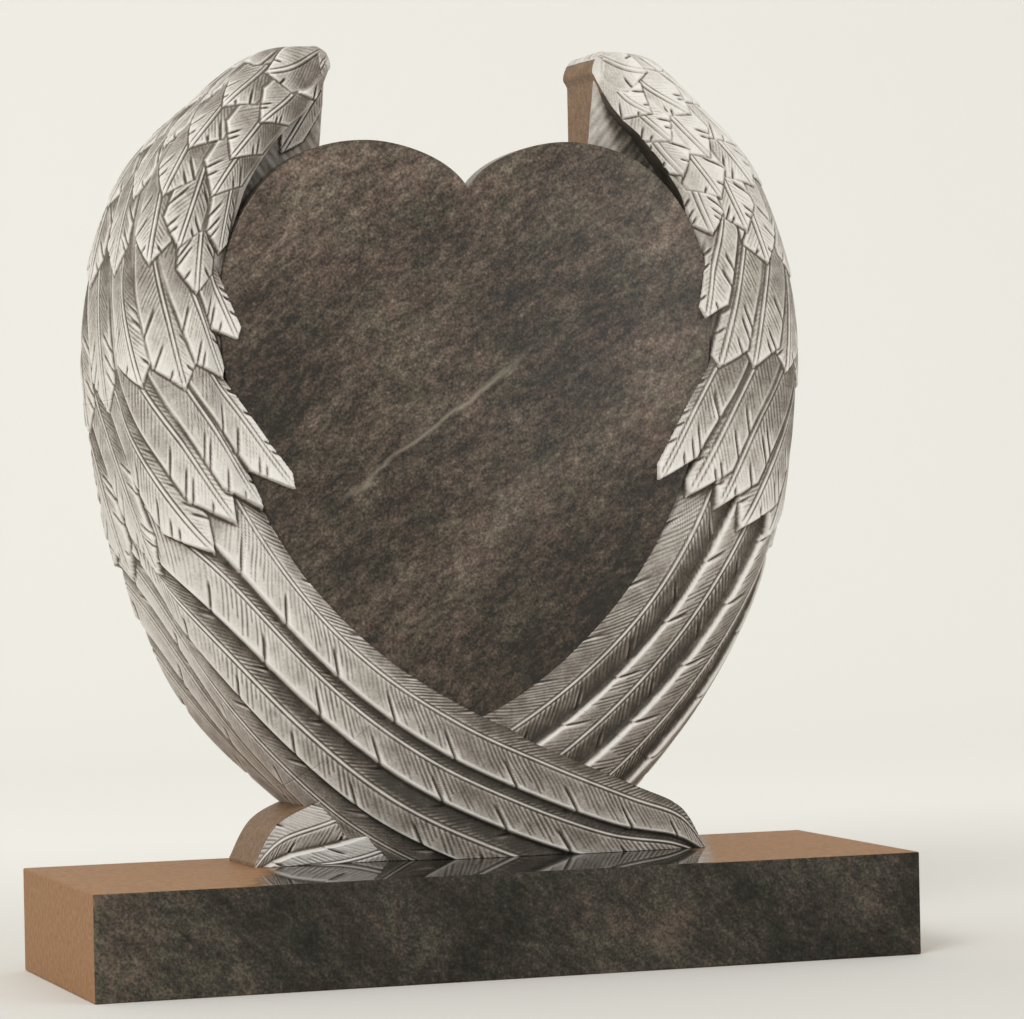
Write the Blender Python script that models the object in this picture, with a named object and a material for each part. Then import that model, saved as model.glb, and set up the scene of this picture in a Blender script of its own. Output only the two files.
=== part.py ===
"""A heart headstone: a granite heart held by two feathered wings, on a plain granite base.

The base lies on the ground with the origin under its middle; +X is to the right and -Y to the front.
The headstone is one carved block. Its drawing is given in shares of a thousandth of its height.
"""
import bmesh
import bpy
import math
import numpy as np

MM = 0.001
SLIVER = 0.1 * MM
SHARP_ANGLE = math.radians(25)
FLAT_FACING = 0.999

# Base slab
BASE_WIDTH = 838 * MM
BASE_DEPTH = 305 * MM
BASE_HEIGHT = 102 * MM
BASE_ARRIS = 1.5 * MM

# Place and size of the headstone
SEAT_GAP = 0.3 * MM
STONE_HEIGHT = 815 * MM
STONE_BACK_MARGIN = 30 * MM
STONE_SHIFT = 20 * MM

# Depths of the carved forms in front of the headstone's flat back
HEART_FACE = 98 * MM
HEART_RIM = 24 * MM
HEART_ARRIS = 2 * MM
WEB_FACE = 62 * MM
WRIST_DEPTH = 88 * MM
UPPER_DEPTH = 110 * MM
FRONT_DEPTH = 112 * MM
BEHIND_DEPTH = 90 * MM
SIDE_ROUND = 34 * MM
SIDE_FLARE = 17 * MM
WEB_RISE = 24 * MM
INNER_DIP = 20 * MM
CROSSING_DIP = 5 * MM
INNER_SINK = 14 * MM
BACK_INSET = 0.87

# The heart's right half, as cubic curves from the notch over the lobe to the foot
HEART_CURVES = (
    ((0, 822), (23, 862), (91, 880), (129, 880)),
    ((129, 880), (289, 880), (318, 726), (318, 684)),
    ((318, 684), (318, 345), (80, 200), (0, 170)),
)
HEART_STEPS = (7, 9, 12)
HEART_MIDDLE = 525

# Rungs of the right wing, from the wrist down to the tip: inner end, outer end
WING_RUNGS = (
    ((172, 965), (192, 1000)),
    ((196, 921), (258, 989)),
    ((238, 881), (317, 935)),
    ((280, 820), (388, 854)),
    ((309, 740), (429, 748)),
    ((318, 660), (445, 642)),
    ((306, 562), (437, 521)),
    ((270, 442), (410, 382)),
    ((205, 331), (357, 254)),
    ((120, 245), (288, 142)),
    ((14, 177), (181, 34)),
    ((-96, 125), (55, -37)),
    ((-200, 80), (-80, -79)),
    ((-259, 51), (-215, -70)),
    ((-288, 4), (-290, -37)),
)
WING_STEP = 0.5
WING_END = len(WING_RUNGS) - 1
WING_ACROSS = (0.0, 0.2, 0.45, 0.66, 0.8, 0.9, 0.97, 1.0)
INNER_OVERLAP = -0.06
BACK_OVERLAP = -0.45
HEART_RUNGS = (3, 4, 10.0, 10.8)
UPPER_RUNGS = (3, 7)
CROSSING_RUNG = 9.3
DIP_RUNGS = (0.5, 2.5, 7, 9)
DIP_ACROSS = (-0.05, 0.25)
ROUND_FROM = 0.55
WRIST_ROUND = 0.4
WRIST_RUNGS = (0.3, 2)
WRIST_CAP = 8
WRIST_CAP_STEPS = (-0.8, -0.45)
FLARE_RUNGS = (1, 4, 8, 10)

# Feathers: along and across are places on the wing, lifts are above its surface, and a tip's last
# number is the feather's share of its tier's width
FEATHER_STATIONS = (0.0, 0.25, 0.5, 0.68, 0.82, 0.93, 1.0)
VANE_ROOT = 0.7
VANE_FULL = 0.35
VANE_TAPER = 0.45
FEATHER_ROOT_DEPTH = 30 * MM
FEATHER_TIP_WIDTH = 1.5 * MM
OVERHANG_SINK = 1 * MM
ROOT_LIFT = -3 * MM
SHAFT_LIFT = 3 * MM
COVERT_ROWS = 5
COVERT_FIRST_TIP = 1.3
COVERT_SPACING = 0.65
COVERT_LENGTH = 1.05
COVERT_WIDTH = 34 * MM
COVERT_SLANT = 0.1
COVERT_STAGGER = 0.4
COVERT_TOP = 0.15
COVERT_SHARPNESS = 0.6
COVERT_LIFT = 6 * MM
MIDDLE_TIPS = ((5.2, -0.09, 0.6), (5.65, 0.06, 0.9), (5.5, 0.43, 1), (5.35, 0.81, 1), (5.5, 1.02, 1))
MIDDLE_LENGTH = 1.7
MIDDLE_WIDTH = 46 * MM
MIDDLE_SLANT = 0.26
MIDDLE_LIFT = 7 * MM
LONG_TIPS = (
    (7.2, -0.26, 0.9), (7.0, 0.04, 1), (7.0, 0.3, 1), (7.05, 0.58, 1), (7.0, 0.85, 1), (6.85, 1.02, 1),
)
LONG_LENGTH = 1.9
LONG_WIDTH = 44 * MM
LONG_SLANT = 0.42
LONG_LIFT = 8 * MM
PRIMARY_ROOTS = (6.0, 6.2, 6.9, 8.2)
PRIMARY_STATIONS = 14
PRIMARY_SPREAD = 0.75
PRIMARY_CLOSING = 4
PRIMARY_LOW_EDGE = -1 * MM
PRIMARY_HIGH_EDGE = 11 * MM
PRIMARY_SHAFT = 4 * MM
PRIMARY_SINK = 14 * MM
PRIMARY_RISE = 1.3
FRONT_PRIMARIES = ((0.02, 0.12, 0.34), (0.31, 0.37, 0.56), (0.53, 0.585, 0.78), (0.75, 0.8, 0.97))
BEHIND_PRIMARIES = ((0.02, 0.15, 0.33), (0.3, 0.48, 0.6), (0.57, 0.76, 0.86), (0.83, 0.95, 1.0))
EDGE_SOFTNESS = 0.2
TIER_SHARPNESS = 1.0

# The low web of stone between each wrist and the heart's lobe
WEB_OUTLINE = (
    (175, 850), (175, 905), (175, 962), (215, 925), (300, 835), (335, 740), (300, 690), (235, 730),
)
WEB_SLOPE = (870, 965)


def stone_unit():
    """One share of the headstone's drawing, in metres."""
    return STONE_HEIGHT / 1000


def stone_back():
    """The headstone's flat back, measured along +Y."""
    return BASE_DEPTH / 2 - STONE_BACK_MARGIN


def place(x, z, depth):
    """A point of the drawing, with its depth in front of the back, as a point in the world."""
    unit = stone_unit()
    return (STONE_SHIFT + x * unit, stone_back() - depth, BASE_HEIGHT + SEAT_GAP + z * unit)


def smooth(value, low, high):
    """A soft step from 0 at low to 1 at high."""
    share = min(max((value - low) / (high - low), 0.0), 1.0)
    return share * share * (3 - 2 * share)


def blend(value, knots):
    """A soft curve through (position, height) knots."""
    height = knots[0][1]
    for (low, start), (high, end) in zip(knots, knots[1:]):
        height += (end - start) * smooth(value, low, high)
    return height


def catmull(points, place_along):
    """A point on the smooth curve through a row of points."""
    last = len(points) - 1
    index = min(max(int(math.floor(place_along)), 0), last - 1)
    share = place_along - index
    a = np.array(points[max(index - 1, 0)], float)
    b = np.array(points[index], float)
    c = np.array(points[index + 1], float)
    d = np.array(points[min(index + 2, last)], float)
    return b + 0.5 * share * (c - a + share * (2 * a - 5 * b + 4 * c - d + share * (3 * (b - c) + d - a)))


def wing_point(along, across):
    """A point of the right wing's drawing: along the rungs, and across from inner to outer edge.

    Before the first rung, the wrist closes in a rounded cap.
    """
    inner = catmull([rung[0] for rung in WING_RUNGS], max(along, 0))
    outer = catmull([rung[1] for rung in WING_RUNGS], max(along, 0))
    point = inner + (outer - inner) * across
    if along >= 0:
        return point
    turn = -along * math.pi / 2
    middle = (inner + outer) / 2
    rung = (outer - inner) / np.linalg.norm(outer - inner)
    outward = np.array((-rung[1], rung[0]))
    return middle + (point - middle) * math.cos(turn) + outward * WRIST_CAP * math.sin(turn)


def flare(along):
    """How far the side stands out at the back past the front's outline, as a share of the width."""
    first, full, waning, last = FLARE_RUNGS
    share = smooth(along, first, full) * (1 - smooth(along, waning, last))
    return SIDE_FLARE * share / wing_width(along)


def wing_width(along):
    """The wing's width at a rung, in metres."""
    return float(np.linalg.norm(wing_point(along, 1.0) - wing_point(along, 0.0))) * stone_unit()


def wing_depth(along, across, in_front):
    """The carved surface's depth: the left wing crosses in front, the right one passes behind."""
    low = FRONT_DEPTH if in_front else BEHIND_DEPTH
    upper, lower = UPPER_RUNGS
    crest = blend(along, ((0, WRIST_DEPTH), (upper, UPPER_DEPTH), (lower, UPPER_DEPTH), (CROSSING_RUNG, low)))
    first, full, waning, last = DIP_RUNGS
    dip = blend(along, ((waning, INNER_DIP), (last, CROSSING_DIP if in_front else 0)))
    crest -= dip * (1 - smooth(across, *DIP_ACROSS)) * smooth(along, first, full)
    turn = min(max((across - ROUND_FROM) / (1 - ROUND_FROM), 0.0), 1.0)
    rounding = SIDE_ROUND * (WRIST_ROUND + (1 - WRIST_ROUND) * smooth(along, *WRIST_RUNGS))
    return crest - rounding * (1 - math.sqrt(1 - turn * turn))


class Shell:
    """Collects closed shells of one mesh."""

    def __init__(self):
        self.mesh = bmesh.new()

    def loft(self, rings):
        """Joins rings of as many points each into one closed body with flat ends."""
        rows = [[self.mesh.verts.new(point) for point in ring] for ring in rings]
        count = len(rows[0])
        faces = [self.mesh.faces.new(rows[0][::-1]), self.mesh.faces.new(rows[-1])]
        for first, second in zip(rows, rows[1:]):
            for i in range(count):
                j = (i + 1) % count
                faces.append(self.mesh.faces.new((first[i], first[j], second[j], second[i])))
        bmesh.ops.recalc_face_normals(self.mesh, faces=faces)

    def object(self, name):
        """Turns the collected shells into an object."""
        data = bpy.data.meshes.new(name)
        bmesh.ops.triangulate(self.mesh, faces=[face for face in self.mesh.faces if len(face.verts) > 4])
        self.mesh.to_mesh(data)
        self.mesh.free()
        thing = bpy.data.objects.new(name, data)
        bpy.context.scene.collection.objects.link(thing)
        return thing


def bezier(points, steps):
    """Points along a cubic curve, without its last one."""
    a, b, c, d = (np.array(point, float) for point in points)
    share = np.linspace(0, 1, steps, endpoint=False)[:, None]
    rest = 1 - share
    return rest ** 3 * a + 3 * rest ** 2 * share * b + 3 * rest * share ** 2 * c + share ** 3 * d


def heart_outline():
    """The whole outline, from the notch round by the right lobe and the foot to the left lobe."""
    right = np.vstack([bezier(curve, steps) for curve, steps in zip(HEART_CURVES, HEART_STEPS)])
    foot = np.array(HEART_CURVES[-1][-1], float)
    left = right[:0:-1] * (-1, 1)
    return np.vstack([right, foot, left])


def heart_ring(outline, share, depth):
    """The outline drawn in towards the heart's middle, at one depth."""
    middle = np.array((0, HEART_MIDDLE), float)
    return [place(x, z, depth) for x, z in middle + (outline - middle) * share]


def add_heart(shell):
    """The heart's slab: a flat face with a fine arris, a straight rim, and a back that draws in."""
    outline = heart_outline()
    arris_share = 1 - HEART_ARRIS / (HEART_MIDDLE * stone_unit())
    shell.loft((
        heart_ring(outline, arris_share, HEART_FACE),
        heart_ring(outline, 1.0, HEART_FACE - HEART_ARRIS),
        heart_ring(outline, 1.0, HEART_FACE - HEART_RIM),
        heart_ring(outline, BACK_INSET, -HEART_ARRIS),
    ))


def add_wing(shell, side, in_front):
    """One wing's body, without its feathers."""
    rings = []
    for along in WRIST_CAP_STEPS + tuple(np.arange(0, WING_END + WING_STEP, WING_STEP)):
        first, full, waning, last = HEART_RUNGS
        lean = smooth(along, first, full) * (1 - smooth(along, waning, last))
        inner = INNER_OVERLAP * lean
        inner_depth = WEB_FACE + (HEART_FACE - INNER_SINK - WEB_FACE) * lean
        corners = [(inner, inner_depth)]
        corners += [(across, wing_depth(along, across, in_front)) for across in WING_ACROSS]
        corners += [(1 + flare(along), -HEART_ARRIS), (BACK_OVERLAP * lean, -HEART_ARRIS)]
        rings.append([on_wing(side, along, across, depth) for across, depth in corners])
    shell.loft(rings)


def add_web(shell, side):
    """The low web of stone that ties a wrist to the heart's lobe, and rises to meet the wrist."""
    low, high = WEB_SLOPE
    back = [place(side * x, z, -HEART_ARRIS) for x, z in WEB_OUTLINE]
    face = [place(side * x, z, WEB_FACE + WEB_RISE * min(max((z - low) / (high - low), 0), 1))
            for x, z in WEB_OUTLINE]
    shell.loft((back, face))


def on_wing(side, along, across, depth):
    """A point of a wing in the world; side is 1 for the right wing and -1 for the left one."""
    x, z = wing_point(along, across)
    return place(side * x, z, depth)


def soft_edge(across):
    """Holds a place on the wing inside the outer edge."""
    start = 1 - EDGE_SOFTNESS
    if across < start:
        return across
    return start + EDGE_SOFTNESS * (1 - math.exp((start - across) / EDGE_SOFTNESS))


def vane_width(share, sharpness):
    """A feather's width along its length, as a share of its widest: full, then closing to the tip."""
    root = VANE_ROOT + (1 - VANE_ROOT) * smooth(share, 0, VANE_FULL)
    tip = max((share - VANE_TAPER) / (1 - VANE_TAPER), 0.0)
    return root * (1 - tip * tip) ** sharpness


def add_feather(shell, side, in_front, root, tip, width, lift, sharpness):
    """A short feather that rises from its root to its tip, with its shaft as a ridge."""
    rings = []
    for share in FEATHER_STATIONS:
        along = root[0] + (tip[0] - root[0]) * share
        middle = root[1] + (tip[1] - root[1]) * share
        half = max(width * vane_width(share, sharpness), FEATHER_TIP_WIDTH) / 2 / wing_width(along)
        rise = ROOT_LIFT + (lift - ROOT_LIFT) * share
        lifts = (rise, rise + SHAFT_LIFT, rise)
        rings.append(feather_ring(side, along, (middle - half, middle, middle + half), lifts, in_front))
    shell.loft(rings)


def carried_depth(along, across, in_front):
    """The surface that a feather lies on: the wing's, or the heart's face where the feather overhangs it."""
    depth = wing_depth(along, across, in_front)
    return max(depth, HEART_FACE - OVERHANG_SINK) if across < 0 else depth


def feather_ring(side, along, places, lifts, in_front):
    """One cross-section of a feather: its two edges and its shaft above, and its sunken foot."""
    places = [soft_edge(across) for across in places]
    ring = [on_wing(side, along, across, carried_depth(along, across, in_front) + lift)
            for across, lift in zip(places, lifts)]
    foot = carried_depth(along, places[1], in_front) - FEATHER_ROOT_DEPTH
    ring += [on_wing(side, along, across, foot) for across in (places[2], places[0])]
    return ring


def add_coverts(shell, side, in_front):
    """Rows of small feathers like scales, each row set half a feather over from the last."""
    for row in range(COVERT_ROWS):
        tip_along = COVERT_FIRST_TIP + row * COVERT_SPACING
        count = round(wing_width(tip_along) / COVERT_WIDTH)
        for number in range(count):
            across = (number + 0.5 + COVERT_STAGGER * (row % 2)) / count
            root = (max(tip_along - COVERT_LENGTH, COVERT_TOP), across + COVERT_SLANT)
            tip = (tip_along, across)
            add_feather(shell, side, in_front, root, tip, COVERT_WIDTH, COVERT_LIFT, COVERT_SHARPNESS)


def add_tier(shell, side, in_front, tips, length, slant, width, lift):
    """A tier of longer feathers that slant towards the heart."""
    for along, across, share in tips:
        root = (along - length, across + slant)
        add_feather(shell, side, in_front, root, (along, across), width * share, lift, TIER_SHARPNESS)


def add_primaries(shell, side, in_front):
    """The long feathers that sweep down to the crossing and on to the wing's tip."""
    primaries = FRONT_PRIMARIES if in_front else BEHIND_PRIMARIES
    edges = (PRIMARY_LOW_EDGE, PRIMARY_HIGH_EDGE) if in_front else (PRIMARY_HIGH_EDGE, PRIMARY_LOW_EDGE)
    for root, places in zip(PRIMARY_ROOTS, primaries):
        rings = []
        for station in range(PRIMARY_STATIONS):
            share = station / (PRIMARY_STATIONS - 1)
            along = root + (WING_END - root) * share
            spread = 1 + PRIMARY_SPREAD * (1 - share) ** PRIMARY_CLOSING
            sunk = PRIMARY_SINK * (1 - smooth(along, root, root + PRIMARY_RISE))
            lifts = [lift - sunk for lift in (edges[0], PRIMARY_SHAFT, edges[1])]
            rings.append(feather_ring(side, along, [across * spread for across in places], lifts, in_front))
        shell.loft(rings)


def build_headstone(material):
    """The whole block: every form in one mesh, made one body as it is cut from the granite block."""
    shell = Shell()
    add_heart(shell)
    for side, in_front in ((-1, True), (1, False)):
        add_wing(shell, side, in_front)
        add_web(shell, side)
        add_coverts(shell, side, in_front)
        add_tier(shell, side, in_front, MIDDLE_TIPS, MIDDLE_LENGTH, MIDDLE_SLANT, MIDDLE_WIDTH, MIDDLE_LIFT)
        add_tier(shell, side, in_front, LONG_TIPS, LONG_LENGTH, LONG_SLANT, LONG_WIDTH, LONG_LIFT)
        add_primaries(shell, side, in_front)
    headstone = shell.object("headstone")
    headstone.data.materials.append(material)
    headstone.data.shade_smooth()
    headstone.data.set_sharp_from_angle(angle=SHARP_ANGLE)
    for polygon in headstone.data.polygons:
        polygon.use_smooth = abs(polygon.normal.y) < FLAT_FACING
    block = box("stone_block", (-STONE_HEIGHT, STONE_HEIGHT), (stone_back() - STONE_HEIGHT, stone_back()),
                (BASE_HEIGHT + SEAT_GAP, BASE_HEIGHT + 2 * STONE_HEIGHT))
    block.hide_render = True
    block.display_type = 'WIRE'
    cut = headstone.modifiers.new("cut from the block", 'BOOLEAN')
    cut.operation = 'INTERSECT'
    cut.solver = 'EXACT'
    cut.use_self = True
    cut.object = block
    tidy = headstone.modifiers.new("close slivers", 'WELD')
    tidy.merge_threshold = SLIVER
    return headstone


def box(name, x, y, z):
    """A box between pairs of coordinates."""
    shell = Shell()
    shell.loft([[(x[0], y[0], height), (x[1], y[0], height), (x[1], y[1], height), (x[0], y[1], height)]
                for height in z])
    return shell.object(name)


def build_base(material):
    """The plain slab under the headstone, with fine arrises."""
    base = box("base", (-BASE_WIDTH / 2, BASE_WIDTH / 2), (-BASE_DEPTH / 2, BASE_DEPTH / 2), (0, BASE_HEIGHT))
    base.data.materials.append(material)
    arris = base.modifiers.new("arris", 'BEVEL')
    arris.width = BASE_ARRIS
    arris.segments = 2
    return base


def granite(name, colour, roughness):
    """A plain granite finish."""
    material = bpy.data.materials.new(name)
    material.use_nodes = True
    shader = material.node_tree.nodes["Principled BSDF"]
    shader.inputs["Base Color"].default_value = (*colour, 1)
    shader.inputs["Roughness"].default_value = roughness
    shader.inputs["Metallic"].default_value = 0
    return material


def main():
    for thing in list(bpy.data.objects):
        bpy.data.objects.remove(thing, do_unlink=True)
    build_base(granite("polished granite", (0.07, 0.055, 0.05), 0.15))
    build_headstone(granite("carved granite", (0.45, 0.43, 0.41), 0.7))


main()
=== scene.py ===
"""The heart headstone, dressed: carved feathers on both wings, the polished heart and the base's granite.

Places on a wing are given along it (rung numbers, from the wrist down) and across it (0 at the edge
by the heart, 1 at the outer edge, more round the side). The drawing's unit is a thousandth of the
headstone's height. Everything else is in metres.
"""
import math

import bmesh
import bpy
import numpy as np
from mathutils import Matrix, Vector


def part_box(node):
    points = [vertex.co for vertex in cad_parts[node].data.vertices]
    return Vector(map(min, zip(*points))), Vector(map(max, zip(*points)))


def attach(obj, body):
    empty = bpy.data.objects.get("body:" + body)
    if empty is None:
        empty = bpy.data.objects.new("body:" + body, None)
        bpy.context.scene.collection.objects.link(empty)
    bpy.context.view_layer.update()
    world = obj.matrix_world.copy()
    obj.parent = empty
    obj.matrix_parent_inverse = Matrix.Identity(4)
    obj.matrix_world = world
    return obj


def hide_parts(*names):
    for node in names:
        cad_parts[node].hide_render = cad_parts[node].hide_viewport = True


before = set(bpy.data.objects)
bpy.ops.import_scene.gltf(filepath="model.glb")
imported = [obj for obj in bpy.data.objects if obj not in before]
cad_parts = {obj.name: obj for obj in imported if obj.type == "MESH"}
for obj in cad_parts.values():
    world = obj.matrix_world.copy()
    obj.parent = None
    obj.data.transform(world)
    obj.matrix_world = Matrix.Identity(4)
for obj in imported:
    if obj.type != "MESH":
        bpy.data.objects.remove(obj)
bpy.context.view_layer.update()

MM = 0.001

# The headstone's place and size, from the frame
STONE_LOW, STONE_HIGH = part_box("headstone")
UNIT = (STONE_HIGH.z - STONE_LOW.z) / 1000
MIDDLE_X = (STONE_HIGH.x + STONE_LOW.x) / 2
SEAT_Z = STONE_LOW.z
BACK_Y = STONE_HIGH.y

# The right wing's rungs in the drawing: inner end, outer end
WING_RUNGS = np.array((
    ((172, 965), (192, 1000)), ((196, 921), (258, 989)), ((238, 881), (317, 935)),
    ((280, 820), (388, 854)), ((309, 740), (429, 748)), ((318, 660), (445, 642)),
    ((306, 562), (437, 521)), ((270, 442), (410, 382)), ((205, 331), (357, 254)),
    ((120, 245), (288, 142)), ((14, 177), (181, 34)), ((-96, 125), (55, -37)),
    ((-200, 80), (-80, -79)), ((-259, 51), (-215, -70)), ((-288, 4), (-290, -37)),
), float)
WING_END = len(WING_RUNGS) - 1

# Depths in front of the flat back, widths of roundings, and the stretches where they come and go: along
# in rungs, across in shares of the wing's width
HEART_FACE = 98 * MM
HEART_RIM = 24 * MM
HEART_ARRIS = 2 * MM
ARRIS_STEPS = 4
HEART_STEPS = 40
SHARP_ANGLE = math.radians(50)
BACK_INSET = 0.87
FOOT_KEPT = (420, 640)
BEHIND_BACK = 0.2 * MM
HEART_BACK = 0.4 * MM
WEB_BACK = 0.6 * MM
WEB_FACE = 62 * MM
WRIST_DEPTH = 88 * MM
UPPER_DEPTH = 110 * MM
FRONT_DEPTH = 112 * MM
BEHIND_DEPTH = 90 * MM
INNER_DIP = 20 * MM
CROSSING_DIP = 5 * MM
SIDE_ROUND = 34 * MM
SIDE_FLARE = 17 * MM
SIDE_INSET = 4.5 * MM
SIDE_SPAN = 78 * MM
SUNK_UNDER_HEART = 14 * MM
UNDER_HEART_RAMP = (0, 0.05)
HANGING_RAMP = (-0.14, -0.01)
UNDER_HEART = 0.07
UNDER_HEART_RUNGS = ((3, 4), (10.0, 10.8))
TIPS_OVER_HEART = 0.33
TIPS_RUNGS = ((3.6, 4.6), (7.3, 8.0))
ROUND_FROM = 0.55
ROUND_TO = 1.16
WRIST_ROUND = 0.4
WRIST_RUNGS = (0.3, 2)
WRIST_CAP = 8
WRIST_CAP_ROWS = 14
WRIST_CAP_FROM = -0.95
WRIST_CALM = (-0.9, 0.3)
DIP_ACROSS = (-0.05, 0.25)
DIP_RUNGS = (0.5, 2.5)
FLARE_RUNGS = ((1, 4), (8, 10))
SIDE_LIFT = 0.5

# Grid cells of the carved surface
ROW_CELL = 1.15 * MM
FRONT_CELL = 1.1 * MM
SIDE_CELL = 1.45 * MM
FRONT_SHARE = 0.9
FINER = 2
FINE_STEPS = 4000

HEART_CURVES = (
    ((0, 822), (23, 862), (91, 880), (129, 880)),
    ((129, 880), (289, 880), (318, 726), (318, 684)),
    ((318, 684), (318, 345), (80, 200), (0, 170)),
)
HEART_MIDDLE = np.array((0.0, 525.0))


def smooth(value, low, high):
    """A soft step from 0 at low to 1 at high."""
    share = np.clip((value - low) / (high - low), 0, 1)
    return share * share * (3 - 2 * share)


def blend(value, knots):
    """A soft curve through (position, height) knots."""
    height = knots[0][1]
    for (low, start), (high, end) in zip(knots, knots[1:]):
        height = height + (end - start) * smooth(value, low, high)
    return height


def catmull(points, along):
    """Points on the smooth curve through a row of points."""
    last = len(points) - 1
    index = np.clip(np.floor(along).astype(int), 0, last - 1)
    share = (along - index)[:, None]
    a, b = points[np.maximum(index - 1, 0)], points[index]
    c, d = points[index + 1], points[np.minimum(index + 2, last)]
    cubic = 3 * (b - c) + d - a
    return b + 0.5 * share * (c - a + share * (2 * a - 5 * b + 4 * c - d + share * cubic))


def soften(field, cells):
    """A field smoothed over so many cells, by three passes of a running mean each way."""
    width = max(int(cells), 1)
    for axis in (0, 1):
        for _ in range(3):
            padding = [(0, 0), (0, 0)]
            padding[axis] = (width + 1, width)
            total = np.cumsum(np.pad(field, padding, mode='edge'), axis=axis)
            high = np.take(total, range(2 * width + 1, total.shape[axis]), axis=axis)
            low = np.take(total, range(0, total.shape[axis] - 2 * width - 1), axis=axis)
            field = (high - low) / (2 * width + 1)
    return field


def ripple(first, second, seed):
    """A smooth uneven wave from -1 to 1, the same each time, for a hand's small variations."""
    turn = seed * 2.399
    wave = np.sin(first * 1.0 + 1.7 * np.sin(second * 0.61 + turn) + turn)
    return 0.6 * wave + 0.4 * np.sin(first * 2.3 - second * 1.9 + 3 * turn)


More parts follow.
